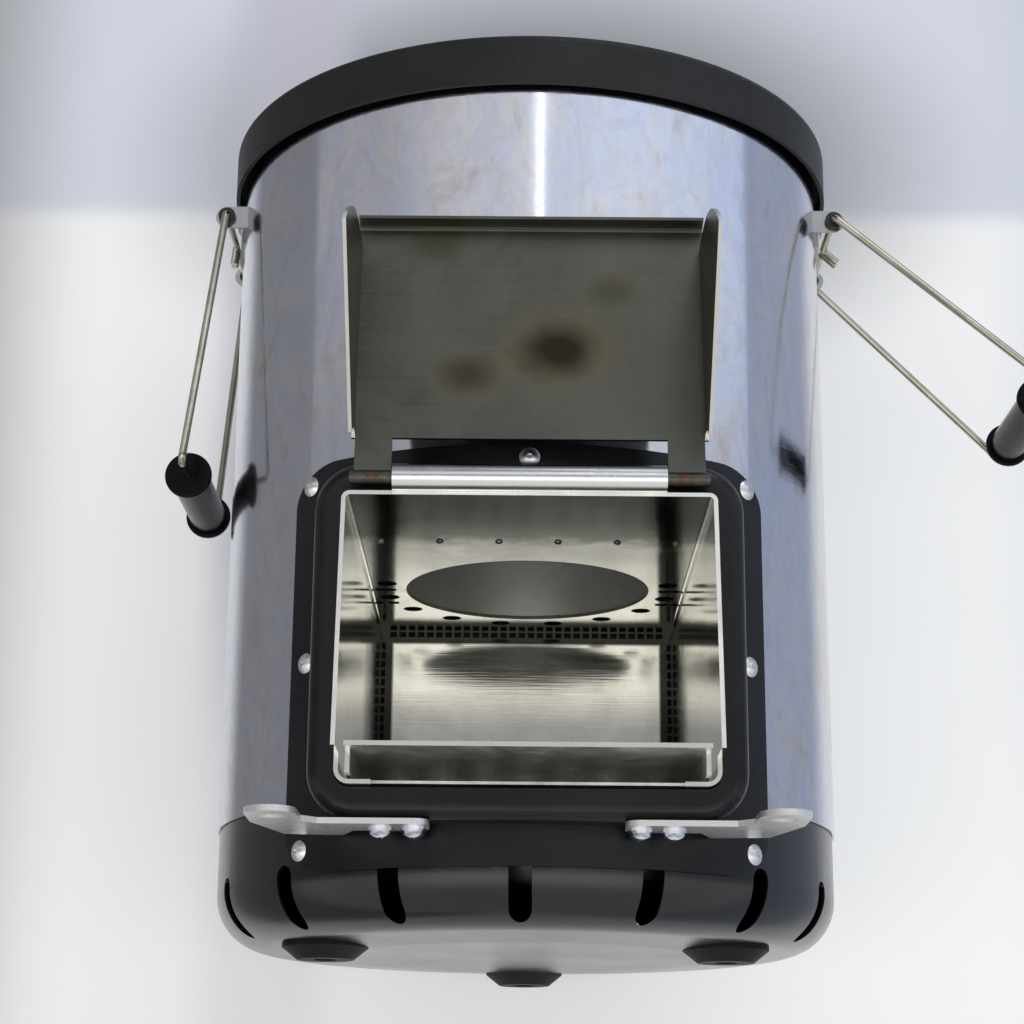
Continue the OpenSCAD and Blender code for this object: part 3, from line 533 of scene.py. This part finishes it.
def backdrop_tone(s, tone):
    x, y, z = s.axis()
    # A cooler, darker band above, painted as the shade of the upright wall, with the painted soft
    # shadow of the stove's top on it
    painted_wall_shade = s.mix(s.remap(z, 0.38, 0.60), (0.60, 0.63, 0.71), (0.54, 0.56, 0.64))
    tone = s.mix(s.remap(z, 0.364, 0.379, smooth=True), tone, painted_wall_shade)
    shade = s.spot((0.01, BACK_Y, 0.400), (0.24, 1.0, 0.14))
    tone = s.mix(s.math("MULTIPLY", s.remap(shade, 0.0, 0.7, smooth=True), 0.86), tone,
                 (0.16, 0.17, 0.18))
    # Towards its ends the paper is shaded: grey at the left, cool at the right
    tone = s.mix(s.remap(x, -0.200, -0.300, smooth=True), tone, (0.26, 0.26, 0.27))
    tone = s.mix(s.remap(x, 0.210, 0.320, smooth=True), tone, (0.40, 0.44, 0.54))
    # The lavender shade of the body, along its left side
    beside = s.math("MULTIPLY", s.remap(x, -0.158, -0.128, smooth=True),
                    s.remap(x, -0.100, -0.080, 1.0, 0.0))
    return s.mix(s.math("MULTIPLY", beside, s.remap(z, 0.10, 0.20, 0.25, 0.85)), tone,
                 (0.46, 0.46, 0.53))


def paper(name, color, painted_glow, shading=None):
    """Pale paper that shows only its front, so a camera behind it sees the stove."""
    s = Shader(name, color, roughness=0.85)
    tone = s.ramp(s.noise(3.0, 2.0), (0.3, color), (0.7, tuple(c * 0.97 for c in color)))
    if shading:
        tone = shading(s, tone)
    s.set("Base Color", tone)
    # Painted light: the paper glows with its own tone, in place of lamp light falling on it
    s.set("Emission Color", tone)
    s.bsdf.inputs["Emission Strength"].default_value = painted_glow
    clear = s.node("BsdfTransparent", {})
    backface = s.node("NewGeometry", {}, output="Backfacing")
    out = s.tree.nodes["Material Output"]
    both = s.node("MixShader", {0: backface, 1: s.bsdf.outputs[0], 2: clear})
    s.tree.links.new(both, out.inputs["Surface"])
    return s.mat


def sheet(name, corners, color, painted_glow, shading=None):
    """One flat sheet of paper, which belongs to the stage."""
    mesh = bpy.data.meshes.new(name)
    mesh.from_pydata(corners, [], [tuple(range(len(corners)))])
    piece = bpy.data.objects.new(name, mesh)
    scene.collection.objects.link(piece)
    piece.data.materials.append(paper(name + "_paper", color, painted_glow, shading))
    return piece


floor = sheet("floor", [(-REACH, -REACH, 0), (REACH, -REACH, 0), (REACH, REACH, 0),
                        (-REACH, REACH, 0)], grey(0.80), 0.2)
floor.visible_diffuse = False
floor.visible_glossy = False
floor.visible_shadow = False
sheet("backdrop", [(-REACH, BACK_Y, -3), (REACH, BACK_Y, -3), (REACH, BACK_Y, 5),
                   (-REACH, BACK_Y, 5)], (0.84, 0.85, 0.86), 0.24, backdrop_tone)


# ---------------------------------------------------------------------- lights

def studio_world():
    """A soft room: grey to the left, cool to the right, pale paper low in front."""
    world = bpy.data.worlds.new("studio")
    scene.world = world
    world.use_nodes = True
    g = Graph(world.node_tree, "Generated")
    x, y, z = g.axis()
    azimuth = g.math("DIVIDE", g.math("ARCTAN2", x, g.math("MULTIPLY", y, -1.0)), math.pi)
    turn = g.remap(azimuth, -1.0, 1.0)
    around = g.ramp(turn, (0.0, (0.42, 0.42, 0.43)), (0.20, (0.24, 0.24, 0.25)),
                    (0.34, (0.28, 0.28, 0.29)), (0.42, (0.44, 0.44, 0.45)),
                    (0.50, (0.50, 0.505, 0.53)), (0.58, (0.56, 0.59, 0.64)),
                    (0.68, (0.51, 0.56, 0.64)), (0.80, (0.36, 0.41, 0.52)),
                    (1.0, (0.42, 0.42, 0.44)))
    height = g.remap(z, -1.0, 1.0)
    lift = g.ramp(height, (0.0, grey(0.70)), (0.52, grey(0.70)), (0.60, grey(0.88)),
                  (0.68, grey(1.90)), (0.75, grey(1.90)), (0.82, grey(0.90)),
                  (0.92, grey(0.60)), (1.0, grey(0.70)))
    low = g.ramp(height, (0.0, (0.66, 0.65, 0.62)), (0.45, (0.95, 0.94, 0.90)))
    color = g.mix(1.0, around, lift, "MULTIPLY")
    color = g.mix(g.remap(z, -0.14, 0.0, smooth=True), low, color)
    # The lit paper low in front
    ahead = g.remap(g.math("ABSOLUTE", azimuth), 0.16, 0.34, 1.0, 0.0, smooth=True)
    below = g.math("MULTIPLY", g.remap(z, -0.62, -0.35, smooth=True),
                   g.remap(z, -0.10, -0.02, 1.0, 0.0, smooth=True))
    color = g.mix(g.math("MULTIPLY", ahead, below), color, (1.7, 1.68, 1.60))
    background = g.tree.nodes["Background"]
    g.tree.links.new(color, background.inputs["Color"])
    background.inputs["Strength"].default_value = 1.0


def soft_light(name, place, target, size, power, color=(1, 1, 1)):
    data = bpy.data.lights.new(name, "AREA")
    data.shape = "RECTANGLE"
    data.size, data.size_y = size
    data.energy = power
    data.color = color
    lamp = bpy.data.objects.new(name, data)
    lamp.location = place
    lamp.rotation_euler = (Vector(target) - Vector(place)).to_track_quat("-Z", "Y").to_euler()
    scene.collection.objects.link(lamp)


studio_world()
soft_light("key", (0.5, -0.9, 1.7), (0, 0, 0.2), (0.9, 0.9), 4)
soft_light("strip", (0.09, -1.5, 1.05), (0.0, 0, 0.28), (0.035, 0.5), 0.24, (0.95, 0.98, 1.0))
scene.view_settings.view_transform = "Standard"


# ---------------------------------------------------------------------- camera

def add_camera():
    """A long lens low in front of the stove, looking a little upwards."""
    data = bpy.data.cameras.new("camera")
    data.sensor_width = SENSOR_MM
    data.lens = LENS_MM
    camera = bpy.data.objects.new("camera", data)
    scene.collection.objects.link(camera)
    forward = Vector(CAMERA_AHEAD).normalized()
    right = Vector(CAMERA_RIGHT)
    up = right.cross(forward).normalized()
    right = forward.cross(up).normalized()
    turn = Matrix((right, up, -forward)).transposed().to_4x4()
    camera.matrix_world = Matrix.Translation(CAMERA_AT) @ turn
    scene.camera = camera


add_camera()
